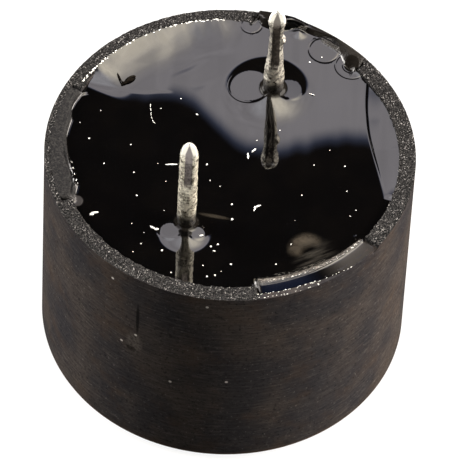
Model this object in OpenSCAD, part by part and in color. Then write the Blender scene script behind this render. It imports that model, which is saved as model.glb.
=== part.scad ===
// Round magnetic buzzer with its own driver, for mounting on a circuit board.
// A coil pulls a thin steel diaphragm in a moulded case; resin seals the pin side.
// Millimetres. The buzzer stands on its sound face with its pins up.
// Origin: centre of the sound face. +Z: towards the pins. +X: towards the positive pin.

/* [Case] */
// Outer diameter of the case
case_d = 12; // [11.6:0.1:14]
// Height of the case, from the sound face to the rim
case_h = 8.5; // [8.1:0.1:10]
// Thickness of the sound face
face_t = 0.7; // [0.5:0.05:1]
// Thickness of the wall at the rim
rim_wall = 0.54; // [0.42:0.02:0.7]
// Radius of the edge round the sound face
edge_r = 0.25; // [0.1:0.05:0.4]
// Diameter of the sound hole
port_d = 2; // [1:0.1:3]
// Chamfer of the sound hole
port_chamfer = 0.15; // [0.05:0.05:0.25]
// Height of the resonance chamber behind the sound face
chamber_h = 1.2; // [1:0.05:1.4]
// Width of the ledge that stops the diaphragm
stop_w = 0.45; // [0.3:0.05:0.7]
// Width of the ledge that the yoke sits on
yoke_ledge_w = 0.45; // [0.3:0.05:0.55]

/* [Rim notches] */
// Number of notches in the inner edge of the rim
notch_count = 3; // [2:1:4]
// Arc of each notch, in degrees
notch_arc = 44; // [30:1:60]
// Turn of the first notch from the positive pin, in degrees
notch_turn = -4; // [-60:1:60]
// Depth of the notches below the rim
notch_depth = 0.3; // [0.2:0.05:0.5]
// Width of the thin land left outside the notches
notch_land = 0.24; // [0.16:0.02:0.3]
// Depth of the resin in the notches below the rim
notch_resin_drop = 0.1; // [0.05:0.01:0.15]

/* [Diaphragm] */
// Thickness of the diaphragm
diaphragm_t = 0.08; // [0.05:0.01:0.12]
// Play between the diaphragm and its ledge
diaphragm_play = 0.15; // [0.1:0.05:0.25]
// Diameter of the armature disc on the diaphragm
armature_d = 3.2; // [2:0.1:4.5]
// Thickness of the armature disc
armature_t = 0.5; // [0.3:0.05:0.7]

/* [Magnet system] */
// Height of the ring that the diaphragm rests on
seat_ring_h = 2.75; // [2.5:0.05:3]
// Wall of the ring that the diaphragm rests on
seat_ring_wall = 0.6; // [0.4:0.05:0.8]
// Wall of the ring magnet
magnet_wall = 1; // [0.8:0.05:1.2]
// Height of the ring magnet
magnet_h = 1.9; // [1.5:0.1:2.2]
// Chamfer of the magnet's edges
magnet_chamfer = 0.1; // [0.05:0.01:0.15]
// Thickness of the yoke plate
yoke_t = 0.8; // [0.6:0.05:0.9]
// Diameter of the pole core
pole_d = 2.2; // [2:0.1:2.6]
// Gap between the pole core and the diaphragm
air_gap = 0.25; // [0.15:0.05:0.4]
// Diameter of the rivet shank that holds the pole core in the yoke
rivet_d = 1.4; // [1:0.1:1.6]
// Diameter of the rivet head
rivet_head_d = 2; // [1.8:0.1:2.4]
// Height of the rivet head
rivet_head_h = 0.25; // [0.15:0.05:0.35]

/* [Coil] */
// Wall of the bobbin's tube
bobbin_wall = 0.2; // [0.15:0.05:0.3]
// Thickness of the bobbin's flanges
flange_t = 0.2; // [0.15:0.05:0.3]
// How far the pole core stands out of the bobbin
pole_proud = 0.15; // [0.1:0.05:0.3]
// How far the winding lies inside the flanges
winding_inset = 0.15; // [0.1:0.05:0.3]
// Diameter of the wire turns
wire_d = 0.12; // [0.08:0.01:0.16]
// How far inside the winding's edge the leads leave it
lead_inset = 0.5; // [0.3:0.05:0.7]
// Bend radius of the leads
lead_bend_r = 0.25; // [0.2:0.05:0.3]

/* [Board] */
// Thickness of the circuit board
board_t = 0.8; // [0.6:0.1:1]
// Thickness of the copper
copper_t = 0.05; // [0.03:0.01:0.07]
// Width of the copper tracks
track_w = 0.24; // [0.2:0.02:0.3]
// Diameter of the pads round the pins
pin_pad_d = 1.7; // [1.4:0.1:1.8]
// Distance from a lead's hole to the centre of its pad
lead_run = 1.15; // [1:0.05:1.3]
// Diameter of the lead pads
lead_pad_d = 0.8; // [0.6:0.1:0.9]

/* [Driver] */
// Distance of the driver's chips from the axis
chip_r = 3.1; // [3:0.05:3.2]
// Length of the transistor's body
transistor_l = 2.9; // [2.7:0.1:3]
// Width of the transistor's body
transistor_w = 1.3; // [1.2:0.1:1.4]
// Height of the transistor's body
transistor_h = 0.95; // [0.8:0.05:1.05]
// Spread of the transistor's legs from toe to toe
leg_span = 2.4; // [2.3:0.05:2.5]
// Distance between neighbouring legs
leg_pitch = 0.95; // [0.9:0.05:1]
// Width of the legs
leg_w = 0.4; // [0.3:0.05:0.45]
// Thickness of the legs
leg_t = 0.11; // [0.08:0.01:0.14]
// Length of the resistor
resistor_l = 2; // [1.8:0.1:2.2]
// Width of the resistor
resistor_w = 1.25; // [1:0.05:1.3]
// Height of the resistor
resistor_h = 0.5; // [0.4:0.05:0.6]
// Length of the resistor's end caps
cap_l = 0.4; // [0.25:0.05:0.5]
// Thickness of the resistor's end caps
cap_t = 0.05; // [0.03:0.01:0.07]

/* [Pins] */
// Distance between the pins
pin_pitch = 6.2; // [5.8:0.1:6.6]
// Diameter of the pins
pin_d = 0.6; // [0.5:0.05:0.65]
// Diameter of the thicker root inside the resin
pin_root_d = 0.92; // [0.92:0.02:1]
// Length of the pins outside the rim
pin_out = 3.83; // [3:0.01:6]
// Length of the coined tip
tip_l = 0.5; // [0.3:0.05:0.7]
// Width of the flat left on the tip
tip_flat = 0.16; // [0.1:0.02:0.3]
// Diameter of the head under the board
pin_head_d = 1.2; // [1.1:0.05:1.3]
// Thickness of the head under the board
pin_head_t = 0.2; // [0.15:0.05:0.3]
// Height of the solder cones on the board
solder_h = 0.5; // [0.4:0.05:0.7]

/* [Resin] */
// Depth of the resin's level below the rim
resin_drop = 0.22; // [0.14:0.02:0.3]
// Width of the resin's rise at the wall
rise_w = 0.8; // [0.5:0.05:1.2]
// Depth of the highest line of resin on the wall below the rim
rise_drop = 0.04; // [0.02:0.01:0.08]
// Height of the resin collars round the pins
collar_h = 0.55; // [0.3:0.05:0.7]
// Width of the resin collars round the pins
collar_w = 0.5; // [0.4:0.05:0.7]

/* [Fits] */
// Clearance round the loose parts inside the case
fit_gap = 0.05; // [0.03:0.01:0.08]
// Clearance round the diaphragm
diaphragm_gap = 0.1; // [0.06:0.02:0.16]
// Clearance round the pin heads in the yoke
head_gap = 0.2; // [0.1:0.05:0.25]
// Clearance of the wires in their holes
wire_gap = 0.12; // [0.08:0.02:0.16]

/* [Hidden] */
$fn = 96;

over = 1; // how far a cut runs past what it cuts

// radii of the case, from its rim inwards
case_r = case_d / 2;
rim_bore_r = case_r - rim_wall;
mid_bore_r = rim_bore_r - yoke_ledge_w;
chamber_r = mid_bore_r - stop_w;

// heights of the stack, from the sound face up
stop_z = face_t + chamber_h;
diaphragm_z = stop_z + diaphragm_play;
seat_z = diaphragm_z + diaphragm_t;
yoke_z = seat_z + seat_ring_h;
board_z = yoke_z + yoke_t;
copper_z = board_z + board_t;
chip_z = copper_z + copper_t;

// coil, between the pole core and the magnet
pole_r = pole_d / 2;
seat_ring_r = mid_bore_r - fit_gap;
magnet_r = seat_ring_r - seat_ring_wall - fit_gap;
magnet_hole_r = magnet_r - magnet_wall;
bobbin_bore_r = pole_r + fit_gap;
tube_r = bobbin_bore_r + bobbin_wall;
flange_r = magnet_hole_r - fit_gap;
winding_r = flange_r - winding_inset;
bobbin_z = seat_z + air_gap + pole_proud;
winding_z = bobbin_z + flange_t;
winding_end_z = yoke_z - flange_t;

// leads and their holes
lead_angles = [-30, 135, 225];
lead_r = winding_r - lead_inset;
lead_pad_r = lead_r + lead_run;
wire_r = wire_d / 2;
lead_hole_r = wire_r + wire_gap;
lead_lift = 0.02; // solder under the wire where it lies on its pad
lead_z = chip_z + wire_r + lead_lift;
solder_cover = 0.82; // share of a pad's width that its solder covers
lead_solder_r = solder_cover * lead_pad_d / 2;

// pins
pin_x = pin_pitch / 2;
root_r = pin_root_d / 2;
resin_z = case_h - resin_drop;
root_end_z = resin_z + collar_h;
pin_end_z = case_h + pin_out;
solder_r = solder_cover * pin_pad_d / 2;

// driver
chip_pad = [0.7, 0.8];
chip_lift = 0.05;
bypass_y = 1; // half the length of the track that runs past the rivet
mould_slope = 0.08; // how far the transistor's ends slope in, for release from the mould
leg_mid_z = transistor_h / 2;

dip_ease = 1.35; // leaves a small angle at both ends of a resin rise

// centre of the circle of radius r that dips between (0, h) and (w, 0)
function dip_centre(w, h, r) =
    let (chord = norm([w, h]), reach = sqrt(r * r - chord * chord / 4))
    [w / 2 + reach * h / chord, h / 2 + reach * w / chord];

// radius of the dip, a little larger than one that would meet the shorter side's line square
function dip_radius(w, h) = dip_ease * (w * w + h * h) / (2 * min(w, h));

// cross-section of a resin rise: h high at x = 0, falling in a hollow curve to 0 at x = w
module rise(w, h) {
    difference() {
        square([w, h]);
        translate(dip_centre(w, h, dip_radius(w, h)))
            circle(dip_radius(w, h), $fn = 240);
    }
}

// ring of rectangular section between two radii and two heights, cut to an arc if one is given
module ring(inner, outer, low, high, arc = 360) {
    rotate_extrude(angle = arc)
        translate([inner, low]) square([outer - inner, high - low]);
}

module at_notches() {
    for (i = [0 : notch_count - 1])
        rotate(notch_turn + i * 360 / notch_count - notch_arc / 2) children();
}

module at_pins() {
    for (side = [-1, 1]) translate([side * pin_x, 0, 0]) children();
}

module at_leads(distance) {
    for (a = lead_angles) rotate(a) translate([distance, 0, 0]) children();
}

// ------------------------------------------------------------ case

module case() {
    color([0.07, 0.07, 0.075]) difference() {
        rotate_extrude() {
            square([case_r - edge_r, case_h]);
            translate([0, edge_r]) square([case_r, case_h - edge_r]);
            translate([case_r - edge_r, edge_r]) circle(edge_r);
        }
        translate([0, 0, face_t]) cylinder(r = chamber_r, h = case_h);
        translate([0, 0, stop_z]) cylinder(r = mid_bore_r, h = case_h);
        translate([0, 0, yoke_z]) cylinder(r = rim_bore_r, h = case_h);
        translate([0, 0, -over]) cylinder(d = port_d, h = face_t + 2 * over);
        rotate_extrude() polygon([
            [0, -over], [port_d / 2 + port_chamfer + over, -over],
            [port_d / 2, port_chamfer], [0, port_chamfer]]);
        at_notches()
            ring(rim_bore_r - over, case_r - notch_land, case_h - notch_depth, case_h + over,
                 notch_arc);
    }
}

// ------------------------------------------------------------ diaphragm and its armature

module diaphragm() {
    color([0.55, 0.55, 0.56]) translate([0, 0, diaphragm_z])
        cylinder(r = mid_bore_r - diaphragm_gap, h = diaphragm_t);
}

module armature_disc() {
    color([0.62, 0.6, 0.57]) translate([0, 0, diaphragm_z - armature_t])
        cylinder(d = armature_d, h = armature_t);
}

// ------------------------------------------------------------ magnet system

module seat_ring() {
    color([0.8, 0.78, 0.7])
        ring(seat_ring_r - seat_ring_wall, seat_ring_r, seat_z, yoke_z);
}

module ring_magnet() {
    low = yoke_z - magnet_h;
    c = magnet_chamfer;
    color([0.2, 0.2, 0.21]) rotate_extrude() polygon([
        [magnet_hole_r + c, low], [magnet_r - c, low], [magnet_r, low + c],
        [magnet_r, yoke_z - c], [magnet_r - c, yoke_z], [magnet_hole_r + c, yoke_z],
        [magnet_hole_r, yoke_z - c], [magnet_hole_r, low + c]]);
}

module yoke_plate() {
    color([0.6, 0.61, 0.62]) difference() {
        translate([0, 0, yoke_z]) cylinder(r = rim_bore_r - fit_gap, h = yoke_t);
        translate([0, 0, yoke_z - over]) {
            cylinder(d = rivet_d, h = yoke_t + 2 * over);
            at_pins() cylinder(d = pin_head_d + 2 * head_gap, h = yoke_t + 2 * over);
            at_leads(lead_r) cylinder(r = lead_hole_r + fit_gap, h = yoke_t + 2 * over);
        }
    }
}

module pole_core() {
    pole_z = seat_z + air_gap;
    color([0.66, 0.67, 0.68]) {
        translate([0, 0, pole_z]) cylinder(r = pole_r, h = yoke_z - pole_z);
        translate([0, 0, pole_z]) cylinder(d = rivet_d, h = board_z - pole_z);
        translate([0, 0, board_z])
            rotate_extrude() intersection() {
                square([rivet_head_d / 2, rivet_head_h]);
                translate([0, rivet_head_h - rivet_head_d]) circle(rivet_head_d, $fn = 240);
            }
    }
}

// ------------------------------------------------------------ coil

module coil_bobbin() {
    color([0.85, 0.84, 0.78]) difference() {
        rotate_extrude() {
            translate([bobbin_bore_r, bobbin_z]) square([bobbin_wall, yoke_z - bobbin_z]);
            translate([bobbin_bore_r, bobbin_z]) square([flange_r - bobbin_bore_r, flange_t]);
            translate([bobbin_bore_r, winding_end_z])
                square([flange_r - bobbin_bore_r, flange_t]);
        }
        at_leads(lead_r) translate([0, 0, winding_end_z - over / 4])
            cylinder(r = lead_hole_r, h = flange_t + over);
    }
}

// The outer layer shows its turns; the layers under it are one solid.
module coil_winding() {
    turns = floor((winding_end_z - winding_z) / wire_d);
    turn_h = (winding_end_z - winding_z) / turns;
    flank = turn_h / 4;
    color([0.72, 0.38, 0.2]) rotate_extrude() polygon([
        [tube_r, winding_z],
        for (i = [0 : turns - 1])
            each [[winding_r - wire_r, winding_z + i * turn_h],
                  [winding_r, winding_z + i * turn_h + flank],
                  [winding_r, winding_z + (i + 1) * turn_h - flank]],
        [winding_r - wire_r, winding_end_z],
        [tube_r, winding_end_z]]);
}

// One lead: straight up from the winding, through yoke and board, then bent out onto its pad.
module lead() {
    rise_h = lead_z - lead_bend_r - winding_end_z;
    translate([0, 0, winding_end_z]) cylinder(r = wire_r, h = rise_h);
    translate([lead_bend_r, 0, winding_end_z + rise_h]) rotate([90, 0, 0]) rotate(90)
        rotate_extrude(angle = 90) translate([lead_bend_r, 0]) circle(wire_r);
    translate([lead_bend_r, 0, lead_z]) rotate([0, 90, 0])
        cylinder(r = wire_r, h = lead_pad_r - lead_r - lead_bend_r);
}

module coil_leads() {
    color([0.78, 0.42, 0.22]) at_leads(lead_r) lead();
}

// ------------------------------------------------------------ circuit board

module circuit_board() {
    color([0.16, 0.36, 0.22]) difference() {
        translate([0, 0, board_z]) cylinder(r = rim_bore_r - fit_gap, h = board_t);
        translate([0, 0, board_z - over]) {
            cylinder(d = rivet_head_d + 2 * fit_gap, h = board_t + 2 * over);
            at_pins() cylinder(r = root_r, h = board_t + 2 * over);
            at_leads(lead_r) cylinder(r = lead_hole_r, h = board_t + 2 * over);
        }
    }
}

// A copper track of round-ended straight runs through the points given.
module track(points) {
    for (i = [0 : len(points) - 2]) {
        run = points[i + 1] - points[i];
        translate([points[i].x, points[i].y, 0]) {
            cylinder(d = track_w, h = copper_t);
            rotate(atan2(run.y, run.x)) translate([0, -track_w / 2, 0])
                cube([norm(run), track_w, copper_t]);
        }
    }
}

// Foot of a leg or cap on the board: x and y of its pad's centre
function leg_foot(i) =
    i == 1 ? [0, chip_r + leg_span / 2 - chip_pad.y / 4]
           : [(i - 1) * leg_pitch, chip_r - leg_span / 2 + chip_pad.y / 4];
function cap_foot(side) = [side * (resistor_l - cap_l) / 2, -chip_r];
function lead_foot(i) = lead_pad_r * [cos(lead_angles[i]), sin(lead_angles[i])];

module copper_pads() {
    bypass_x = (rivet_head_d / 2 + pin_x - pin_pad_d / 2) / 2; // midway from rivet to pad
    color([0.82, 0.55, 0.3]) translate([0, 0, copper_z]) difference() {
        union() {
            at_pins() cylinder(d = pin_pad_d, h = copper_t);
            at_leads(lead_pad_r) cylinder(d = lead_pad_d, h = copper_t);
            for (i = [0 : 2])
                translate([leg_foot(i).x, leg_foot(i).y, copper_t / 2])
                    cube([chip_pad.x, chip_pad.y, copper_t], center = true);
            for (side = [-1, 1])
                translate([cap_foot(side).x, cap_foot(side).y, copper_t / 2])
                    cube([chip_pad.x, resistor_w, copper_t], center = true);
            track([[pin_x, 0], lead_foot(0)]);
            track([lead_foot(1), [lead_foot(1).x / 2, leg_foot(1).y], leg_foot(1)]);
            track([leg_foot(0), [-pin_x, 0]]);
            track([lead_foot(2), cap_foot(-1)]);
            track([cap_foot(1), [bypass_x, -bypass_y], [bypass_x, bypass_y], leg_foot(2)]);
        }
        translate([0, 0, -over]) at_pins() cylinder(r = root_r, h = copper_t + 2 * over);
    }
}

// ------------------------------------------------------------ driver

// Moulded body whose ends slope both ways from its parting line
module moulded_block(l, w, h) {
    top_l = l - 2 * mould_slope;
    rotate([90, 0, 0]) linear_extrude(w, center = true) polygon([
        [-top_l / 2, 0], [top_l / 2, 0], [l / 2, h / 2],
        [top_l / 2, h], [-top_l / 2, h], [-l / 2, h / 2]]);
}

module transistor_body() {
    color([0.1, 0.1, 0.1]) translate([0, chip_r, chip_z + chip_lift])
        moulded_block(transistor_l, transistor_w, transistor_h);
}

// Gull-wing leg, seen along the body: from the body's side, down, and out to the toe
module leg() {
    side = transistor_w / 2;
    toe = leg_span / 2;
    knee = (side + toe) / 2 - leg_t;
    top = chip_lift + leg_mid_z + leg_t / 2;
    rotate([90, 0, 90]) linear_extrude(leg_w, center = true) polygon([
        [side, top], [knee + leg_t, top], [knee + leg_t, leg_t], [toe, leg_t],
        [toe, 0], [knee, 0], [knee, top - leg_t], [side, top - leg_t]]);
}

module transistor_legs() {
    color([0.75, 0.75, 0.73]) translate([0, chip_r, chip_z]) {
        leg();
        for (side = [-1, 1]) translate([side * leg_pitch, 0, 0]) rotate(180) leg();
    }
}

// The whole chip, ceramic and caps together
module resistor_block() {
    translate([0, -chip_r, chip_z + resistor_h / 2])
        cube([resistor_l, resistor_w, resistor_h], center = true);
}

module resistor_core() {
    translate([0, -chip_r, chip_z + resistor_h / 2]) {
        cube([resistor_l - 2 * cap_t, resistor_w, resistor_h - 2 * cap_t], center = true);
        cube([resistor_l - 2 * cap_l, resistor_w, resistor_h], center = true);
    }
}

module resistor_body() {
    color([0.13, 0.13, 0.14]) resistor_core();
}

module resistor_caps() {
    color([0.78, 0.78, 0.76]) difference() {
        resistor_block();
        resistor_core();
    }
}

// ------------------------------------------------------------ pins

// Round wire headed under the board, stouter in the resin, with a tip coined on four sides
module pin() {
    pin_r = pin_d / 2;
    translate([0, 0, board_z - pin_head_t]) cylinder(d = pin_head_d, h = pin_head_t);
    translate([0, 0, board_z - pin_head_t])
        cylinder(r = root_r, h = root_end_z - board_z + pin_head_t);
    intersection() {
        translate([0, 0, board_z]) cylinder(r = pin_r, h = pin_end_z - board_z);
        pin_wedge();
        rotate(90) pin_wedge();
    }
}

module pin_wedge() {
    pin_r = pin_d / 2;
    shoulder = pin_end_z - tip_l;
    rotate([90, 0, 0]) linear_extrude(pin_d + over, center = true) polygon([
        [-pin_r, board_z], [pin_r, board_z], [pin_r, shoulder],
        [tip_flat / 2, pin_end_z], [-tip_flat / 2, pin_end_z], [-pin_r, shoulder]]);
}

module positive_pin() {
    color([0.78, 0.76, 0.7]) translate([pin_x, 0, 0]) pin();
}

module negative_pin() {
    color([0.78, 0.76, 0.7]) translate([-pin_x, 0, 0]) pin();
}

module pin_solder() {
    color([0.7, 0.7, 0.7]) at_pins() translate([0, 0, chip_z])
        rotate_extrude() polygon([[root_r, 0], [solder_r, 0], [root_r, solder_h]]);
}

// Solder domes without the wires that run into them
module solder_domes() {
    at_leads(lead_pad_r) translate([0, 0, chip_z]) intersection() {
        sphere(lead_solder_r);
        translate([-lead_solder_r, -lead_solder_r, 0]) cube(2 * lead_solder_r);
    }
}

module lead_solder() {
    color([0.7, 0.7, 0.7]) difference() {
        solder_domes();
        coil_leads();
    }
}

// ------------------------------------------------------------ potting

module resin_bulk() {
    wall_rise_h = resin_drop - rise_drop;
    root_depth = resin_drop; // how far a collar's section reaches down into the bulk
    rotate_extrude() {
        translate([0, chip_z]) square([rim_bore_r, resin_z - chip_z]);
        translate([rim_bore_r, resin_z]) mirror([1, 0]) rise(rise_w, wall_rise_h);
    }
    at_notches()
        ring(rim_bore_r - fit_gap, case_r - notch_land, case_h - notch_depth,
             case_h - notch_resin_drop, notch_arc);
    at_pins() rotate_extrude() {
        translate([root_r, resin_z]) rise(collar_w, collar_h);
        translate([root_r, resin_z - root_depth]) square([collar_w, root_depth]);
    }
}

module potting() {
    color([0.03, 0.028, 0.025]) difference() {
        resin_bulk();
        at_pins() cylinder(r = root_r, h = root_end_z + over);
        pin_solder();
        solder_domes();
        coil_leads();
        transistor_body();
        transistor_legs();
        resistor_block();
    }
}

case();
diaphragm();
armature_disc();
seat_ring();
ring_magnet();
yoke_plate();
pole_core();
coil_bobbin();
coil_winding();
coil_leads();
circuit_board();
copper_pads();
transistor_body();
transistor_legs();
resistor_body();
resistor_caps();
positive_pin();
negative_pin();
pin_solder();
lead_solder();
potting();
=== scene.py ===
import math
import random

import bpy
import numpy as np
from mathutils import Matrix, Vector


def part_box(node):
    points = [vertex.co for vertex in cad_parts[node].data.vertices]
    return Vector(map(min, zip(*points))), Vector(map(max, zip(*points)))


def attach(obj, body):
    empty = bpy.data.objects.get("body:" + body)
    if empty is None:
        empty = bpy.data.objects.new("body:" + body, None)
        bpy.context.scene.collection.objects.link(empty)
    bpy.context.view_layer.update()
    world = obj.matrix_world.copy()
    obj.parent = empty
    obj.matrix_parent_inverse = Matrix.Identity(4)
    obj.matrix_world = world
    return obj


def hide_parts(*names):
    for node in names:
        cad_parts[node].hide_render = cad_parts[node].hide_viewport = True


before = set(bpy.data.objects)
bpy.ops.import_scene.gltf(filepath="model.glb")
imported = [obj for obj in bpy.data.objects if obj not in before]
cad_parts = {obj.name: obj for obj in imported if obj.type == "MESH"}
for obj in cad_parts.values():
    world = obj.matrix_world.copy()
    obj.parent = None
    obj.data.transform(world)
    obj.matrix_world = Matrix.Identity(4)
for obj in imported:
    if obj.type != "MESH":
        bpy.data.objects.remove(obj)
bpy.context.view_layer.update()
bpy.ops.object.select_all(action="DESELECT")

MM = 0.001                           # one millimetre, in metres


# ---------------------------------------------------------------- view, sky and table
# The buzzer stands on its sound face on a white table, seen from above over its negative pin.
# Soft panels light it: a big one overhead, leaning to the back, and a low one at each side. All
# the rest is dark, so level resin looks black and only its rising parts catch the light.

PIN_LINE = math.radians(65.46)       # turn from the view's right to the line of the pins
CAMERA_RISE = math.radians(52.09)
CAMERA_ROLL = math.radians(3.04)
CAMERA_DISTANCE = 199.8 * MM
AIM_HEIGHT = 4.25 * MM
AIM_RIGHT = 0.1255 * MM
AIM_UP = 0.108 * MM
LENS_MM = 476.8
SENSOR_MM = 36.0
NEAREST = 10 * MM
FARTHEST = 10

to_right = Vector((math.cos(PIN_LINE), -math.sin(PIN_LINE), 0))
to_back = Vector((math.sin(PIN_LINE), math.cos(PIN_LINE), 0))
up = Vector((0, 0, 1))

toward_camera = up * math.sin(CAMERA_RISE) - to_back * math.cos(CAMERA_RISE)
level_up = up * math.cos(CAMERA_RISE) + to_back * math.sin(CAMERA_RISE)
camera_place = up * AIM_HEIGHT + toward_camera * CAMERA_DISTANCE
aim = up * AIM_HEIGHT + to_right * AIM_RIGHT + level_up * AIM_UP

camera_data = bpy.data.cameras.new("view")
camera_data.lens = LENS_MM
camera_data.sensor_width = SENSOR_MM
camera_data.clip_start = NEAREST
camera_data.clip_end = FARTHEST
camera = bpy.data.objects.new("view", camera_data)
bpy.context.collection.objects.link(camera)
outward = (camera_place - aim).normalized()
side = up.cross(outward).normalized()
top = outward.cross(side)
turned = Matrix((side, top, outward)).transposed()
camera.matrix_world = (Matrix.Translation(camera_place) @ turned.to_4x4()
                       @ Matrix.Rotation(CAMERA_ROLL, 4, "Z"))
bpy.context.scene.camera = camera
bpy.context.scene.view_settings.view_transform = "Standard"


class Value:
    """A number or vector that varies over a surface, for sums written as plain Python."""

    def __init__(self, graph, socket):
        self.graph = graph
        self.socket = socket

    def maths(self, operation, *terms, **settings):
        """One step of arithmetic; terms are numbers or values."""
        return self.graph.add("ShaderNodeMath", {"operation": operation, **settings}, *terms)

    def __add__(self, other):
        return self.maths("ADD", self, other)

    def __sub__(self, other):
        return self.maths("SUBTRACT", self, other)

    def __rsub__(self, other):
        return self.maths("SUBTRACT", other, self)

    def __mul__(self, other):
        return self.maths("MULTIPLY", self, other)

    def __truediv__(self, other):
        return self.maths("DIVIDE", self, other)

    def __abs__(self):
        return self.maths("ABSOLUTE", self)

    __radd__ = __add__
    __rmul__ = __mul__

    def at_most(self, limit):
        return self.maths("MINIMUM", self, limit)

    def clamped(self):
        """The value kept between 0 and 1."""
        return self.maths("ADD", self, 0.0, use_clamp=True)

    def ease(self, low, high):
        """0 below low, 1 above high and a smooth step between them; high may be the smaller."""
        return self.graph.add("ShaderNodeMapRange", {"interpolation_type": "SMOOTHSTEP"},
                              self, low, high, 0.0, 1.0)

    def within(self, low, high, soft):
        """1 between low and high, fading to 0 over soft on both sides of each."""
        return self.ease(low - soft, low + soft) * self.ease(high + soft, high - soft)


class Graph:
    """The nodes of one material or of the sky."""

    def __init__(self, owner):
        owner.use_nodes = True
        self.tree = owner.node_tree

    def link(self, source, socket):
        """Feed a socket from a value, or set it to a constant."""
        if isinstance(source, Value):
            self.tree.links.new(source.socket, socket)
        else:
            socket.default_value = source

    def fill(self, node, inputs):
        """Set or link a node's inputs by name."""
        for name, source in inputs.items():
            self.link(source, node.inputs[name])

    def add(self, kind, settings, *inputs, output=0, **named):
        """A new node, as the value of one of its outputs."""
        node = self.tree.nodes.new(kind)
        for key, value in settings.items():
            setattr(node, key, value)
        for socket, source in zip(node.inputs, inputs):
            self.link(source, socket)
        self.fill(node, named)
        return Value(self, node.outputs[output]) if node.outputs else node

    def mix(self, factor, first, second):
        """Colour between first and second."""
        node = self.tree.nodes.new("ShaderNodeMix")
        node.data_type = "RGBA"
        self.link(factor, node.inputs["Factor"])
        colours = [socket for socket in node.inputs if socket.type == "RGBA"]
        self.link(first, colours[0])
        self.link(second, colours[1])
        return Value(self, [s for s in node.outputs if s.type == "RGBA"][0])

    def coats(self, colour, *coats):
        """Colour under coats of (share, colour), each laid over the ones before."""
        for share, coat in coats:
            colour = self.mix(share, colour, coat)
        return colour

    def dot(self, vector, axis):
        """How far the vector reaches along an axis."""
        return self.add("ShaderNodeVectorMath", {"operation": "DOT_PRODUCT"}, vector, tuple(axis), output=1)

    def length(self, vector):
        return self.add("ShaderNodeVectorMath", {"operation": "LENGTH"}, vector, output=1)

    def stretch(self, vector, *along):
        """The vector with each of its three parts made that much longer."""
        return self.add("ShaderNodeVectorMath", {"operation": "MULTIPLY"}, vector, along)

    def flat(self, across, along):
        """A vector in the plane from two numbers."""
        return self.add("ShaderNodeCombineXYZ", {}, across, along, 0.0)

    def angle(self, over, along):
        """Angle in degrees whose sine and cosine go with the two values."""
        return self.add("ShaderNodeMath", {"operation": "ARCTAN2"}, over, along) * (180 / math.pi)

    def place(self):
        """The spot on the piece, in millimetres."""
        spot = self.add("ShaderNodeTexCoord", {}, output="Object")
        return self.add("ShaderNodeVectorMath", {"operation": "SCALE"}, spot, Scale=1 / MM)

    def noise(self, vector, scale, detail=2.0, roughness=0.5):
        """Soft noise round 0.5, with bumps of about 1 / scale."""
        return self.add("ShaderNodeTexNoise", {}, Vector=vector, Scale=scale, Detail=detail,
                        Roughness=roughness)

    def bump(self, height, depth_mm, strength=1.0):
        """Relief for a shader's Normal."""
        return self.add("ShaderNodeBump", {}, Strength=strength, Distance=depth_mm * MM, Height=height)


def rgb(red, green, blue):
    return (red, green, blue, 1.0)


def new_finish(name):
    """A material with its graph and its shader."""
    finish = bpy.data.materials.new(name)
    graph = Graph(finish)
    return finish, graph, graph.tree.nodes["Principled BSDF"]


SKY_PANELS = (
    # turn to the right of straight back and height, in degrees; how soft each edge is; light
    ((-66, 66), (51.9, 85), (10, 0.5), rgb(0.55, 0.68, 1.15)),      # blue fringe of the next
    ((-66, 66), (52.5, 85), (10, 0.55), rgb(3.6, 3.4, 3.6)),        # overhead, leaning back
    ((-66, 24), (68, 84), (12, 5), rgb(5.2, 5.1, 5.4)),             # its brighter middle
    ((12, 84), (60, 84), (16, 8), rgb(11.0, 10.0, 8.3)),            # warm light high in it
    ((-89, -55), (6, 44), (8, 4), rgb(23.0, 22.0, 21.0)),           # left
    ((55, 108), (6, 44), (8, 4), rgb(21.5, 19.8, 18.2)),            # right
    ((174, 190), (46, 80), (3, 3), rgb(13.0, 12.0, 10.4)),          # narrow one in front, in two
    ((-190, -174), (46, 80), (3, 3), rgb(13.0, 12.0, 10.4)),        # halves, for the pins
)
SKY_GAP = rgb(0.012, 0.012, 0.014)   # what is left dark between the panels

world = bpy.data.worlds.new("sky")
bpy.context.scene.world = world
g = Graph(world)
g.tree.nodes.clear()
direction = g.add("ShaderNodeTexCoord", {}, output="Generated")
sky_turn = g.angle(g.dot(direction, to_right), g.dot(direction, to_back))
sky_height = g.add("ShaderNodeMath", {"operation": "ARCSINE"}, g.dot(direction, up)) * (180 / math.pi)
mottle = g.noise(direction, 16.0, 3.0) * 0.5 + 0.72
sky_colour = g.coats(SKY_GAP, *(
    (sky_turn.within(*turn, soft_turn) * sky_height.within(*height, soft_height), light)
    for turn, height, (soft_turn, soft_height), light in SKY_PANELS))
g.add("ShaderNodeOutputWorld", {}, g.add("ShaderNodeBackground", {}, sky_colour, mottle))

TABLE_SIZE = 4
TABLE_GLOW = 0.86            # share of plain white in what is seen of the table; the rest takes shadow
PAPER_SEEN = rgb(0.9, 0.9, 0.9)
PAPER_BOUNCE = rgb(0.10, 0.10, 0.10)   # what the table throws back at the buzzer
bpy.ops.mesh.primitive_plane_add(size=TABLE_SIZE)
table = bpy.context.active_object
table.name = "table"
white_table, g, _ = new_finish("white_table")
g.tree.nodes.clear()
seen = sum(g.add("ShaderNodeLightPath", {}, output=f"Is {ray} Ray")
           for ray in ("Camera", "Glossy", "Transmission")).clamped()
paper = g.add("ShaderNodeBsdfDiffuse", {}, g.mix(seen, PAPER_BOUNCE, PAPER_SEEN))
white = g.add("ShaderNodeEmission", {}, rgb(1, 1, 1), 1.0)
g.add("ShaderNodeOutputMaterial", {}, g.add("ShaderNodeMixShader", {}, seen * TABLE_GLOW, paper, white))
table.data.materials.append(white_table)


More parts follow.
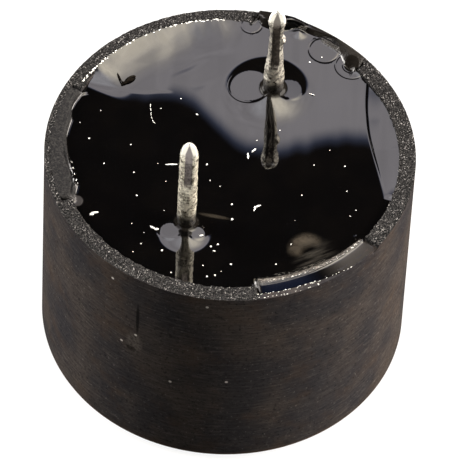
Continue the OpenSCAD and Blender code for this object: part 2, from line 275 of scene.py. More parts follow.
# ---------------------------------------------------------------- case
# Cup moulded in black plastic, open towards the pins, with the sound hole in its floor. Ledges in
# its bore carry the drive and the board. Its wall is matt with fine scratches round it, and its
# sawn rim is rough, with light specks in its colour that are painted glints on the grit, and with
# three shallow notches in its inner edge.

CASE_STEPS = 900
FIT_GAP = 0.05
DIAPHRAGM_PLAY = 0.15
STOP_W = 0.45                # ledge under the diaphragm
case_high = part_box("case")[1]
CASE_R = case_high[0] / MM
CASE_H = case_high[2] / MM
RIM_BORE_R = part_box("circuit_board")[1][0] / MM + FIT_GAP
SEAT_BORE_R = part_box("seat_ring")[1][0] / MM + FIT_GAP
YOKE_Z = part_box("yoke_plate")[0][2] / MM
STOP_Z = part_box("diaphragm")[0][2] / MM - DIAPHRAGM_PLAY
CHAMBER_R = SEAT_BORE_R - STOP_W
FACE_T = 0.7
PORT_R = 1.0
PORT_CHAMFER = 0.15
EDGE_R = 0.25
NOTCH_LAND = 0.24
NOTCH_DEPTH = 0.3
LAND_R = CASE_R - NOTCH_LAND
LEFT_NOTCH = (155, 203)      # arcs in degrees, from the view's right
FRONT_NOTCH = (281.5, 323.5)
BACK_NOTCH = (44, 84)
LAP = (86, 150)              # where the resin laps over the rim's inner edge
LAP_W = 0.11
RIM_RINGS = 16
WALL_RINGS = 24
LAP_DEPTH = 0.12             # how far the rim is worn down under the lap
SAW_SLIP = (322, 324.4)      # where the saw slipped into the rim
SAW_SLIP_DEPTH = 0.16
GRIT = 0.03                  # how far the sawn rim stands up and down, in millimetres
MERGE = 1e-4 * MM            # points closer than this are one


def wipe(x, low, high):
    """0 below low, 1 above high and a smooth step between, for arrays."""
    t = np.clip((x - low) / (high - low), 0, 1)
    return t * t * (3 - 2 * t)


def in_arc(angle, arc, soft=1.2):
    """1 inside an arc of degrees, fading to 0 over soft degrees on both sides of each end."""
    off = np.abs((angle - sum(arc) / 2 + 180) % 360 - 180)
    half = (arc[1] - arc[0]) / 2
    return 1 - wipe(off, half - soft, half + soft)


def noise_at(spots, size, seed=0):
    """Smooth noise between -1 and 1 at each spot, with bumps of the given size."""
    spots = spots / size + 13.7 * seed
    cell = np.floor(spots)
    ease = (spots - cell) ** 2 * (3 - 2 * (spots - cell))
    total = np.zeros(len(spots))
    for corner in np.ndindex(2, 2, 2):
        weight = np.prod(np.where(corner, ease, 1 - ease), axis=1)
        wild = np.sin((cell + corner) @ (127.1, 311.7, 74.7)) * 43758.5453
        total += weight * (wild - np.floor(wild))
    return 2 * total - 1


def pick(piece):
    """Make the piece the one that the next tool works on."""
    bpy.ops.object.select_all(action="DESELECT")
    piece.select_set(True)
    bpy.context.view_layer.objects.active = piece


def lathe(name, outline, steps, closed=False):
    """Spin an outline of (radius, height) points in millimetres once round the axis."""
    count = len(outline)
    edges = [(i, i + 1) for i in range(count - 1)] + ([(count - 1, 0)] if closed else [])
    mesh = bpy.data.meshes.new(name)
    mesh.from_pydata([(r * MM, 0, z * MM) for r, z in outline], edges, [])
    piece = bpy.data.objects.new(name, mesh)
    bpy.context.collection.objects.link(piece)
    pick(piece)
    turn_round = piece.modifiers.new("round", "SCREW")
    turn_round.axis = "Z"
    turn_round.angle = 2 * math.pi
    turn_round.steps = turn_round.render_steps = steps
    turn_round.use_merge_vertices = True
    turn_round.merge_threshold = MERGE
    bpy.ops.object.modifier_apply(modifier="round")
    bpy.ops.object.mode_set(mode="EDIT")
    bpy.ops.mesh.select_all(action="SELECT")
    bpy.ops.mesh.remove_doubles(threshold=MERGE)
    bpy.ops.mesh.select_all(action="SELECT")
    bpy.ops.mesh.normals_make_consistent(inside=False)
    bpy.ops.object.mode_set(mode="OBJECT")
    return piece


def points_of(piece):
    """The piece's points in millimetres, as an array."""
    points = np.empty(len(piece.data.vertices) * 3)
    piece.data.vertices.foreach_get("co", points)
    return points.reshape(-1, 3) / MM


def put_points(piece, points, crease):
    """Move the piece's points and smooth every edge that bends less than crease degrees."""
    piece.data.vertices.foreach_set("co", (points * MM).ravel())
    piece.data.update()
    pick(piece)
    bpy.ops.object.shade_smooth_by_angle(angle=math.radians(crease))


def as_seen(points):
    """Each point's distance to the right, to the back and from the axis, and its turn in degrees."""
    right = points[:, :2] @ np.array(to_right)[:2]
    back = points[:, :2] @ np.array(to_back)[:2]
    return right, back, np.hypot(right, back), np.degrees(np.arctan2(back, right)) % 360


def stand_in(piece, node, slot, *finishes):
    """Let a finished piece take the place of a plain one."""
    for finish in finishes:
        piece.data.materials.append(finish)
    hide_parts(node)
    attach(piece, "root")


def quarter(radius, centre_r, centre_z, steps):
    """A rounded bottom edge, from the side to the underside."""
    turns = [-math.pi / 2 * i / steps for i in range(steps + 1)]
    return [(centre_r + radius * math.cos(t), centre_z + radius * math.sin(t)) for t in turns]


case_outline = (
    [(RIM_BORE_R, YOKE_Z), (RIM_BORE_R, CASE_H - NOTCH_DEPTH), (RIM_BORE_R, CASE_H - 0.15)]
    + [(RIM_BORE_R + (CASE_R - RIM_BORE_R) * i / RIM_RINGS, CASE_H) for i in range(RIM_RINGS + 1)]
    + [(CASE_R, CASE_H + (EDGE_R - CASE_H) * (i / WALL_RINGS) ** 1.3) for i in range(1, WALL_RINGS)]
    + quarter(EDGE_R, CASE_R - EDGE_R, EDGE_R, 6)
    + [(PORT_R + PORT_CHAMFER, 0), (PORT_R, PORT_CHAMFER), (PORT_R, FACE_T), (CHAMBER_R, FACE_T),
       (CHAMBER_R, STOP_Z), (SEAT_BORE_R, STOP_Z), (SEAT_BORE_R, YOKE_Z)])
case = lathe("moulded_case", case_outline, CASE_STEPS, closed=True)

points = points_of(case)
right, back, radius, turn = as_seen(points)
on_rim = points[:, 2] > CASE_H - 0.01
notch = sum(in_arc(turn, arc) for arc in (LEFT_NOTCH, FRONT_NOTCH, BACK_NOTCH))
grit = 0.6 * noise_at(points, 0.1, 1) + 0.6 * noise_at(points, 0.055, 2)
keep = 1 - 0.75 * in_arc(turn, FRONT_NOTCH) - 0.3 * (radius > CASE_R - 0.01)
points[:, 2] += on_rim * (grit * keep * GRIT - GRIT / 2)
points[:, 2] -= on_rim * (radius < LAND_R + 0.005) * notch * NOTCH_DEPTH
lap_share = np.clip(1 - (radius - RIM_BORE_R) / LAP_W, 0, 1)
points[:, 2] -= on_rim * in_arc(turn, LAP) * lap_share * LAP_DEPTH
points[:, 2] -= on_rim * in_arc(turn, SAW_SLIP, 0.4) * SAW_SLIP_DEPTH
lip = on_rim & (radius < RIM_BORE_R + 0.01)
points[lip, :2] *= 1 + 0.006 * noise_at(points[lip], 0.12, 3)[:, None]
put_points(case, points, crease=40)

# the sawn top has a finish of its own, except on the smooth land outside the front notch
centres = np.array([face.center for face in case.data.polygons]) / MM
right, back, radius, turn = as_seen(centres)
rough_top = (centres[:, 2] > CASE_H - 0.1) & (radius < CASE_R - 0.002)
rough_top &= (in_arc(turn, FRONT_NOTCH, 0.3) < 0.5) | (radius < LAND_R - 0.05)
case.data.polygons.foreach_set("material_index", rough_top.astype(int))

wall, g, shader = new_finish("moulded_black")
place = g.place()
height = g.dot(place, up)
round_turn = g.angle(g.dot(place, to_back), g.dot(place, to_right))
unrolled = g.flat(round_turn * (math.pi * CASE_R / 180), height)
streaks = g.noise(g.stretch(unrolled, 0.7, 6.0, 1.0), 1.9, 5.0, 0.8)
clouds = g.noise(place, 0.55, 3.0)
pits = g.noise(place, 9.0, 3.0, 0.7)
scuffs = g.noise(g.stretch(unrolled, 1.0, 3.5, 1.0), 3.5, 4.0, 0.75)
rust = g.noise(g.stretch(unrolled, 0.8, 1.0, 1.0), 0.8, 4.0, 0.7)


def oval(aside, above, edge, core):
    """1 on a soft oval, from distances given as shares of its half width and half height."""
    return (aside * aside + above * above).ease(edge, core)


def wall_mark(turn_at, height_at, half_wide, half_high):
    """1 on a soft spot of the unrolled wall; sizes in millimetres."""
    turned = round_turn + 360.0 * (turn_at > 180) - turn_at
    return oval(turned * (math.pi * CASE_R / 180) / half_wide, (height - height_at) / half_high, 1.6, 0.3)


PALE_SPOTS = ((234, 7.85), (243, 5.55), (255, 3.75), (265.5, 8.05), (272.5, 4.15), (238, 4.9))
SCRATCHED = rgb(0.16, 0.15, 0.14)
worn = g.mix(clouds.ease(0.36, 0.64), rgb(0.026, 0.025, 0.027), rgb(0.043, 0.037, 0.034))
worn = g.coats(
    worn,
    (streaks.ease(0.54, 0.34) * 0.55, rgb(0.014, 0.013, 0.014)),
    (streaks.ease(0.52, 0.76) * 0.5, rgb(0.11, 0.10, 0.09)),
    (pits.ease(0.46, 0.30) * 0.7, rgb(0.008, 0.008, 0.009)),
    (pits.ease(0.62, 0.74) * 0.5, SCRATCHED),
    (scuffs.ease(0.60, 0.74) * 0.25, SCRATCHED),
    (rust.ease(0.48, 0.72) * 0.35, rgb(0.050, 0.033, 0.022)),
    (height.ease(0.30, 0.08), rgb(0.13, 0.085, 0.055)),                                  # foot
    (wall_mark(242.5, 5.1, 0.28, 0.5) * pits.ease(0.35, 0.6) * 0.6, rgb(0.10, 0.09, 0.08)),   # dent
    (wall_mark(243.5, 6.4, 0.06, 0.75) * 0.8, rgb(0.006, 0.006, 0.006)),                 # line over it
    (wall_mark(241.5, 4.75, 0.2, 0.12) * 0.7, rgb(0.008, 0.007, 0.006)),                 # and below
    *((wall_mark(*spot, 0.05, 0.05), rgb(0.42, 0.40, 0.37)) for spot in PALE_SPOTS))
g.fill(shader, {"Base Color": worn,
                "Roughness": (streaks * 0.2 + pits * 0.1 + 0.4).clamped(),
                "Specular IOR Level": 0.0,
                "Normal": g.bump(streaks * 0.6 + pits * 0.5, 0.02, 0.3)})

sawn, g, shader = new_finish("sawn_rim")
place = g.place()
coarse = g.noise(place, 5.0, 3.0, 0.7)
fine = g.noise(place, 19.0, 2.0, 0.8)
rim_grit_with_glints = g.mix(fine.ease(0.42, 0.60), rgb(0.0008, 0.0008, 0.0009), rgb(0.024, 0.023, 0.0225))
# painted highlight: the light specks stand in for glints on the sawn grit
rim_grit_with_glints = g.mix(fine.ease(0.585, 0.68) * coarse.ease(0.42, 0.56), rim_grit_with_glints, rgb(0.30, 0.29, 0.28))
g.fill(shader, {"Base Color": rim_grit_with_glints,
                "Roughness": (0.85 - fine * 0.4).clamped(),
                "Specular IOR Level": 0.1,
                "Normal": g.bump(fine + coarse, 0.04)})
stand_in(case, "case", "case", wall, sawn)


# ---------------------------------------------------------------- sealing resin
# Black resin poured over the board nearly up to the rim. It is glossy, waves a little, climbs
# both pins and the right wall, and has run into the notches and over the rim at the back.
# Sizes are in millimetres to the right and back of the axis, and turns in degrees from the right.

RESIN_STEPS = 576
RESIN_LEVEL = 8.28
RESIN_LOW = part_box("potting")[0][2] / MM
PIN_R = 0.3
PIN_X = (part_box("positive_pin")[0][0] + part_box("positive_pin")[1][0]) / 2 / MM
PLUS_PIN = (PIN_X * math.cos(PIN_LINE), PIN_X * math.sin(PIN_LINE))   # right and back of the axis
MINUS_PIN = (-PLUS_PIN[0], -PLUS_PIN[1])
# pin, centre of the climb right and back of it, reach, steepness and how slowly it sets in
COLLARS = ((PLUS_PIN, (-0.18, -0.12), 1.57, 0.50, 1.9),
           (MINUS_PIN, (-0.04, -0.34), 0.88, 0.19, 0.13))
MENISCUS = 0.035
OPEN_R = 4.5                 # inside it the rings lie wider apart
OPEN_RINGS = 104
EDGE_RINGS = 46
OVERFLOW_R = CASE_R - 0.015
# Where the surface starts to rise towards the back: right, back. The degrees below say how much
# it leans at the axis, how that grows to the back, how much more it leans behind the edge, and
# within how far.
RISE_EDGE = ((-5.4, 3.0), (-4.6, 2.85), (-3.9, 2.6), (-3.2, 2.35), (-2.0, 2.6), (-1.2, 2.3),
             (-0.8, 1.7), (-0.3, 0.9), (0.4, 0.5), (1.0, 0.3), (1.8, 0.35), (2.9, 0.8), (3.9, 1.05),
             (5.4, 0.9))
RISE_LEAN = 0.80
RISE_CURVE = 0.115
RISE_MORE = 4.2
RISE_REACH = 2.4
SAG = 0.9                    # how much less it leans in front of the edge
# inner edge of the resin's climb up the right wall: back, right
CLIMB_EDGE = ((-1.34, 5.04), (-0.45, 4.86), (0.5, 4.61), (1.27, 4.43), (2.45, 4.32), (3.2, 4.34))
# turn and radius of the inner edges of the left roll, the front lip and the overflow
ROLL_EDGE = ((150, 5.46), (155, 5.52), (160, 5.57), (163, 5.55), (167, 5.42), (175, 5.43),
             (182, 5.33), (187, 5.23), (192, 5.14), (197, 5.18), (203, 5.42))
LIP_EDGE = ((281, 5.32), (324, 5.45))
OVERFLOW_EDGE = ((44, 5.5), (47, 5.3), (50, 5.5), (54, 5.72), (60, 5.78), (66, 5.68), (69, 5.78),
                 (71, 5.76), (73, 5.48), (80, 5.38), (84, 5.65))
# the same for how high the overflow's lumps stand, how wide the lip's flank is and its outer edge
OVERFLOW_BUMPS = ((38, 0.0), (44, 0.0), (45.5, 0.12), (51, 0.15), (56, 0.12), (60, 0.06), (64, 0.04),
                  (69, 0.08), (70, 0.25), (76, 0.26), (81, 0.2), (85, 0.0))
LIP_FLANK = ((281, 0.38), (324, 0.24))
LIP_OUTER = ((281, 5.78), (297, 5.78), (308, 5.95), (324, 5.96))
ROLL_TOP = 8.495
LIP_TOP = 8.505
LIP_HOLLOW = 8.472
WAVE_TURN = 3.2              # degrees that one wave along the rim takes
# Skins that trapped bubbles have left: right, back, radius, height, how they lean right and
# back, and how far their outline stands up, or down where it is below 0.
BUBBLES = (
    (0.53, 2.91, 0.69, 8.402, 0.075, 0.03, -0.002), (1.84, 2.85, 0.44, 8.409, -0.09, 0.03, 0.0),
    (0.48, 5.44, 0.34, 8.456, 0.0, 0.08, -0.002), (2.9, 4.57, 0.50, 8.405, 0.0, 0.08, -0.002),
    (-1.80, -3.19, 0.36, 8.352, 0.08, 0.035, -0.003), (-0.92, -3.22, 0.29, 8.352, -0.08, 0.035, -0.003),
)
PIT = (3.81, 3.99, 0.19)     # a burst bubble: right, back, radius
PIT_DEPTH = 0.1
PEAKS = ((2.04, 5.22), (4.12, 3.8))   # small points drawn up by the spill
PEAK_R = 0.35
PEAK_H = 0.07


def by_turn(table, angle, reach=0.0):
    """A table of (turn, value) read at each angle, averaged over reach degrees on both sides."""
    turns, values = np.array(table).T
    spread = np.linspace(-reach, reach, 9) if reach else (0.0,)
    return sum(np.interp((angle + shift - turns[0] + 90) % 360 + turns[0] - 90, turns, values)
               for shift in spread) / len(spread)


def soft_interp(spots, table, reach):
    """The table's second column at each spot, averaged over a reach on both sides."""
    ends, values = np.array(table).T
    return sum(np.interp(spots + shift, ends, values) for shift in np.linspace(-reach, reach, 9)) / 9


def flat_spots(across, along=0.0):
    """Spots of the plane, for noise_at."""
    return np.stack([across, across * 0 + along, across * 0], axis=1)


def blend(first, second, share):
    return first * (1 - share) + second * share


def resin_edge(angle):
    """Radius that the resin reaches: the bore, the land outside a notch, or over the rim."""
    out = RIM_BORE_R + LAP_W * in_arc(angle, LAP, 1.5)
    out += (LAND_R + 0.04 - RIM_BORE_R) * in_arc(angle, LEFT_NOTCH)
    out += (by_turn(LIP_OUTER, angle) - RIM_BORE_R) * in_arc(angle, FRONT_NOTCH)
    out += (OVERFLOW_R - RIM_BORE_R) * in_arc(angle, BACK_NOTCH)
    return np.minimum(out, OVERFLOW_R)


def lean_sum(past):
    """How far up the lean takes the surface at a distance past the edge of the rise."""
    ahead = np.clip(past, 0, None)
    short = -np.clip(past, -0.5, 0)
    return (RISE_MORE * (ahead - RISE_REACH * (1 - np.exp(-ahead / RISE_REACH)))
            + SAG * short ** 2 + SAG * np.clip(-past - 0.5, 0, None))


def open_surface(right, back):
    """The poured surface: nearly level in front, leaning up behind the edge of the rise."""
    edge = soft_interp(right, RISE_EDGE, 0.6)
    past = back - edge
    lean = RISE_LEAN * back + RISE_CURVE * back ** 2 + lean_sum(past) - lean_sum(-edge)
    waves = flat_spots(right, back * 0.12)
    height = RESIN_LEVEL + np.radians(lean / 2)
    height += 0.0026 * noise_at(waves, 0.33, 5) + 0.004 * noise_at(waves, 1.3, 6)
    flow = flat_spots(right * 0.6 - back * 0.8, right * 0.05 + back * 0.04)
    height += 0.0022 * noise_at(flow, 0.3, 7) * wipe(past, 0.4, 1.2) * wipe(right, 0, -1.5)
    left_part = wipe(-right, 1.9, 2.7)
    return height + left_part * (0.012 * np.clip(past, 0, 1.2) + 0.006 * wipe(past, 0, 0.09))


def climb_pins(height, right, back):
    """Drawn up round each pin, and a little more right at the pin."""
    for (pin_right, pin_back), (shift_right, shift_back), reach, steep, soft in COLLARS:
        near = np.hypot(right - pin_right, back - pin_back)
        off = np.hypot(right - pin_right - shift_right, back - pin_back - shift_back)
        climb = np.clip(np.minimum(reach - off, reach - PIN_R), 0, None)
        height = height + steep * (climb - soft * (1 - np.exp(-climb / soft)))
        height = height + MENISCUS * np.exp(-np.clip(near - PIN_R, 0, None) / 0.05)
    return height


def climb_wall(height, right, back, radius, angle):
    """Drawn up the wall at the right, and lapped over the rim's inner edge at the back left."""
    beyond = right - soft_interp(back, CLIMB_EDGE, 0.4)
    inside = wipe(beyond, -0.035, 0.035) * wipe(back, -1.38, -1.32) * wipe(back, 3.5, 3.3)
    step = np.interp(back, (-1.34, 0.56, 3.4), (0, 0.021, 0.014))
    height = height + inside * (0.115 * np.clip(beyond, 0, None) + step)
    around = flat_spots(angle / WAVE_TURN)
    share = np.clip(1 - (RIM_BORE_R - radius + LAP_W) / 1.5, 0, 1)
    uneven = 1 + 0.07 * (1 - share) * noise_at(around * 0.7, 1.0, 7)
    lapped = CASE_H + 0.010 + 0.004 * noise_at(around * 1.5, 1.0, 8)
    return height + share ** 2 * uneven * (lapped - height) * in_arc(angle, (92, 146), 5)


def left_roll(height, radius, angle):
    """A dusty roll that fills the left notch, with a bead and a groove near its front end."""
    edge = by_turn(ROLL_EDGE, angle)
    rolled = height + (ROLL_TOP - height) * wipe(radius, edge - 0.13, edge + 0.02)
    rolled += 0.04 * np.exp(-((radius - edge + 0.09) / 0.03) ** 2) * in_arc(angle, (186, 199), 2)
    rolled -= 0.10 * np.exp(-((radius - edge - 0.05) / 0.05) ** 2) * in_arc(angle, (181, 202), 3)
    return blend(height, rolled, in_arc(angle, LEFT_NOTCH))


def front_lip(height, radius, angle):
    """A lip along the front notch, with a shallow hollow between it and the wall."""
    lip = by_turn(LIP_EDGE, angle)
    foot = lip - by_turn(LIP_FLANK, angle)
    up_flank = np.clip((radius - foot) / (lip - foot), 0, 1) ** 0.8
    outer = np.clip((radius - lip) / (resin_edge(angle) - lip + 1e-6), 0, 1)
    crest = LIP_TOP + 0.012 * noise_at(flat_spots(angle / WAVE_TURN) * 4, 1.0, 9)
    hollow = crest + (LIP_HOLLOW + 0.022 * outer ** 2 - crest) * wipe(outer, 0.02, 0.16)
    lipped = np.where(radius < lip, height + (crest - height) * up_flank, hollow)
    return blend(height, lipped, in_arc(angle, FRONT_NOTCH, 0.6))


def overflow(height, radius, angle):
    """Resin that ran through the back notch and over the rim, in lumps."""
    start = by_turn(OVERFLOW_EDGE, angle, 2.8)
    bumps = by_turn(OVERFLOW_BUMPS, angle, 2.2)
    share = np.clip((radius - start) / (OVERFLOW_R - start), 0, 1)
    over = np.maximum(height, 8.40) + 0.12 * wipe(radius, start - 0.03, start + 0.2)
    over += bumps * np.sin(np.pi * np.clip(share * 1.02, 0, 1)) ** 0.7
    over = np.minimum(over, CASE_H + 0.02 + bumps)
    return blend(height, over, in_arc(angle, BACK_NOTCH, 1.0) * wipe(radius, start - 0.05, start))


def bubble_skins(height, right, back):
    """Level skins with a fine outline, except where a pin passes through."""
    clear = 1.0
    for pin_right, pin_back in (PLUS_PIN, MINUS_PIN):
        clear = clear * wipe(np.hypot(right - pin_right, back - pin_back), 0.36, 0.42)
    for bubble_right, bubble_back, size, skin, lean_right, lean_back, outline in BUBBLES:
        away = np.hypot(right - bubble_right, back - bubble_back)
        skin = skin + lean_right * (right - bubble_right) + lean_back * (back - bubble_back)
        height = blend(height, skin, (1 - wipe(away, size - 0.02, size + 0.03)) * clear)
        height = height + outline * np.exp(-((away - size) / 0.03) ** 2) * clear
    return height


def resin_height(right, back, radius, angle):
    """Height of the resin at spots given both ways: right and back, and radius and turn."""
    height = climb_pins(open_surface(right, back), right, back)
    height = climb_wall(height, right, back, radius, angle)
    height = left_roll(height, radius, angle)
    height = front_lip(height, radius, angle)
    height = overflow(height, radius, angle)
    height = bubble_skins(height, right, back)
    for peak_right, peak_back in PEAKS:
        away = np.hypot(right - peak_right, back - peak_back)
        height = height + PEAK_H * np.clip(1 - away / PEAK_R, 0, None) ** 1.6
    pit_right, pit_back, pit_r = PIT
    return height - PIT_DEPTH * (1 - wipe(np.hypot(right - pit_right, back - pit_back),
                                          pit_r - 0.12, pit_r + 0.06))


ring_radii = [OPEN_R * i / OPEN_RINGS for i in range(OPEN_RINGS)]
ring_radii += [OPEN_R + (RIM_BORE_R - OPEN_R) * i / EDGE_RINGS for i in range(EDGE_RINGS + 1)]
resin_outline = ([(r, RESIN_LEVEL) for r in ring_radii]
                 + [(RIM_BORE_R, CASE_H - NOTCH_DEPTH), (RIM_BORE_R, RESIN_LOW), (0, RESIN_LOW)])
resin = lathe("sealing_resin", resin_outline, RESIN_STEPS)

points = points_of(resin)
right, back, radius, turn = as_seen(points)
surface = points[:, 2] > RESIN_LEVEL - 0.01
above_notch = points[:, 2] > CASE_H - NOTCH_DEPTH - 0.01
reach = np.where(above_notch, wipe(radius, OPEN_R, RIM_BORE_R) ** 0.8, 0)
points[:, :2] *= (1 + (resin_edge(turn) / RIM_BORE_R - 1) * reach)[:, None]
points[surface, 2] = resin_height(*(seen_at[surface] for seen_at in as_seen(points)))
put_points(resin, points, crease=60)

cured, g, shader = new_finish("cured_resin")
place = g.place()
right = g.dot(place, to_right)
back = g.dot(place, to_back)
height = g.dot(place, up)
radius = g.length(g.stretch(place, 1.0, 1.0, 0.0))
left_turn = g.angle(back, 0.0 - right)                       # 0 at the left, growing to the back
front_turn = g.angle(right * 0.866 + back * 0.5, right * 0.5 - back * 0.866)   # 0 at 300 degrees
back_turn = g.angle(back, right)


def round_spot(graph, centre_right, centre_back, size, soft):
    """1 on a round spot and 0 outside it."""
    away = graph.length(graph.flat(right - centre_right, back - centre_back))
    return away.ease(size + soft, size - soft)


bloom = g.noise(place, 0.8, 3.0)
grain = g.noise(place, 15.0, 2.0, 0.8)
smear = g.noise(place, 1.6, 3.0, 0.6).ease(0.25, 0.7)
streak = g.noise(g.flat(right * 0.35 + back * 0.2, back * 2.5 - right * 1.4), 1.6, 3.0)

# dust on the left roll, grit and a hollow at the front lip whose bluish tint is a painted reflection,
# its greyish right end, and grit where the resin ran over the rim
dusty = left_turn.within(-23, 25, 1.5) * radius.ease(5.15, 5.3) * height.ease(8.29, 8.35)
dusty_colour = g.mix(grain.ease(0.40, 0.7), rgb(0.004, 0.004, 0.0045), rgb(0.024, 0.023, 0.022))
gritty = front_turn.within(-18, 23, 1.0) * height.ease(8.40, 8.45) * radius.ease(5.46, 5.40)
gritty_colour = g.mix(grain.ease(0.45, 0.65), rgb(0.02, 0.017, 0.014), rgb(0.20, 0.18, 0.16))
# painted reflection: the hollow behind the front lip is tinted bluish for what it reflects
hollow = front_turn.within(-18, 0, 5.0) * radius.ease(5.34, 5.4)
slope = front_turn.within(8, 25, 6.0) * radius.ease(5.42, 5.5)
scab = back_turn.within(45, 60, 1.5) * radius.ease(5.55, 5.7) * grain.ease(0.3, 0.5)

# two brown smears in front at the right, a near-black spot of painted shade for a hole and a disc at
# the end of the left roll, and a faint streak beside the negative pin
smudge = round_spot(g, 2.62, -3.62, 0.50, 0.22) - round_spot(g, 2.80, -3.85, 0.52, 0.3)
brushed = round_spot(g, 2.9, -3.95, 0.55, 0.4) * streak.ease(0.45, 0.7)
lick = oval((right + 0.4) / 0.5, (back + 2.55 + right * 0.16) / 0.075, 1.5, 0.1)
colour = g.coats(
    g.mix(bloom.ease(0.4, 0.7), rgb(0.0009, 0.0008, 0.0008), rgb(0.0012, 0.0010, 0.0009)),
    (dusty, dusty_colour),
    (gritty, gritty_colour),
    # painted reflection: bluish tint of the hollow
    (hollow, rgb(0.002, 0.003, 0.007)),
    (slope, rgb(0.026, 0.024, 0.022)),
    (scab, rgb(0.022, 0.019, 0.015)),
    (smudge.clamped() * smear, rgb(0.075, 0.063, 0.048)),
    (brushed, rgb(0.022, 0.020, 0.017)),
    # painted shade: a near-black spot for the dark inside of a hole
    (round_spot(g, -5.14, -2.14, 0.17, 0.03), rgb(0.001, 0.001, 0.001)),
    (round_spot(g, -4.85, -2.15, 0.22, 0.03), rgb(0.03, 0.028, 0.028)),
    (lick * (smear * 0.7 + 0.2), rgb(0.020, 0.017, 0.013)))
rough = bloom * 0.02 + 0.012 + dusty * 0.5 + gritty * 0.4 + slope * 0.12 + hollow * 0.1 + scab * 0.5

OUTLINES = (
    # rings in the skin: right, back, radius
    (3.81, 3.99, 0.3), (3.81, 3.99, 0.55), (0.48, 5.44, 0.36), (2.9, 4.57, 0.52), (0.53, 2.91, 0.72),
)
RING_W = 0.04
rings = sum(round_spot(g, ring_right, ring_back, size, 0.03)
            - round_spot(g, ring_right, ring_back, size - RING_W, 0.03)
            for ring_right, ring_back, size in OUTLINES)
g.fill(shader, {"Base Color": colour, "Roughness": rough.clamped(),
                "Normal": g.bump(rings * -0.25 + (dusty + gritty + scab) * grain * 2.0, 0.02)})

# The steep flanks of the spill, the pit, the lip's left end and the foot of each pin are dull.
spilt = back_turn.within(43, 66, 1.5) * height.ease(8.43, 8.46) * radius.ease(5.3, 5.45)
spilt = spilt + back_turn.within(79, 86, 1.0) * height.ease(8.45, 8.5) * radius.ease(5.3, 5.45)
spilt = spilt + round_spot(g, PIT[0], PIT[1], 0.2, 0.05)
lip_end = front_turn.within(-20.5, -17.5, 0.3) * radius.ease(5.2, 5.3)
feet = round_spot(g, *PLUS_PIN, 0.46, 0.05) + round_spot(g, *MINUS_PIN, 0.40, 0.05)
matt = (spilt * 0.85 + lip_end * 0.7 + dusty * 0.75 + feet * 0.85).clamped()
dull = g.add("ShaderNodeBsdfDiffuse", {}, g.mix(dusty, rgb(0.008, 0.007, 0.006), dusty_colour))
whole = g.add("ShaderNodeMixShader", {}, matt, Value(g, shader.outputs["BSDF"]), dull)
g.link(whole, g.tree.nodes["Material Output"].inputs["Surface"])
stand_in(resin, "potting", "resin", cured)


# ---------------------------------------------------------------- pins
# Two round tinned wires, headed under the board and soldered to it. The tin is pitted and uneven,
# each tip is coined to a blunt point, and a flat runs down from the tip on its front side. Painted
# light is in the tin's colour: a highlight on each tip, a darker tone on the flat for what it
# reflects, shade at each pin's foot, and darker tones on the positive pin.

PIN_STEPS = 96
PIN_RINGS = 130
TIP_RINGS = 18
pin_low, pin_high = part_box("positive_pin")
PIN_TOP = pin_high[2] / MM
PIN_HEAD_R = (pin_high[0] - pin_low[0]) / 2 / MM
PIN_LOW = pin_low[2] / MM
PIN_HEAD_T = 0.2
PIN_ROOT_R = 0.46
PIN_ROOT_Z = 8.15
TIP_LENGTH = 0.6
BURR_Z = 10.95
# height and radius from the root up
PLUS_GIRTH = ((8.15, 0.27), (8.4, 0.31), (8.65, 0.335), (8.9, 0.335), (9.43, 0.31), (9.9, 0.265),
              (10.5, 0.225), (11.17, 0.205), (11.5, 0.235), (11.8, 0.28))
MINUS_GIRTH = ((8.15, 0.27), (8.45, 0.295), (8.75, 0.31), (9.1, 0.305), (10.5, 0.3), (12, 0.29))


def tin(name, at_x, dull, bright, stained, flat, flat_low):
    """Pitted tin: its two tones, share of stains, the darker tone painted on the flat for what it reflects,
    and where the flat ends.
    """
    finish, g, shader = new_finish(name)
    place = g.place()
    height = g.dot(place, up)
    aside = g.dot(place, to_right) - at_x * math.cos(PIN_LINE)
    ahead = at_x * math.sin(PIN_LINE) - g.dot(place, to_back)
    pits = g.noise(place, 7.5, 4.0, 0.75)
    stains = g.noise(place, 2.5, 2.0)
    tip = height.ease(PIN_TOP - 0.55, PIN_TOP - 0.35)
    half_wide = ((PIN_TOP - height) * 0.34 - 0.01).at_most(0.12)
    facet = ((half_wide - abs(aside)).ease(-0.02, 0.02) * ahead.ease(0.0, 0.05)
             * height.ease(flat_low, flat_low + 0.4))
    colour = g.coats(
        g.mix(pits.ease(0.62, 0.44), dull, bright),
        (stains.ease(0.5, 0.7) * stained, rgb(0.12, 0.10, 0.09)),
        # painted highlight: the top of the pin is made near-white where the light catches it
        (tip, rgb(0.93, 0.90, 0.80)),
        # painted reflection: the flat is darkened for the dark front that it faces
        (facet * 0.9, flat),
        # painted shade: each pin is darkened towards its foot, where it meets the resin
        (height.ease(9.2, 8.75) * (pits.ease(0.66, 0.5) * 0.6 + 0.4), rgb(0.02, 0.018, 0.017)))
    g.fill(shader, {"Base Color": colour, "Metallic": 0.7,
                    "Roughness": ((0.40 - tip * 0.10 - pits * 0.2) * (1.0 - facet * 0.6)).clamped(),
                    "Normal": g.bump(pits * (1.0 - tip) * (1.0 - facet * 0.7), 0.06, 0.7)})
    return finish


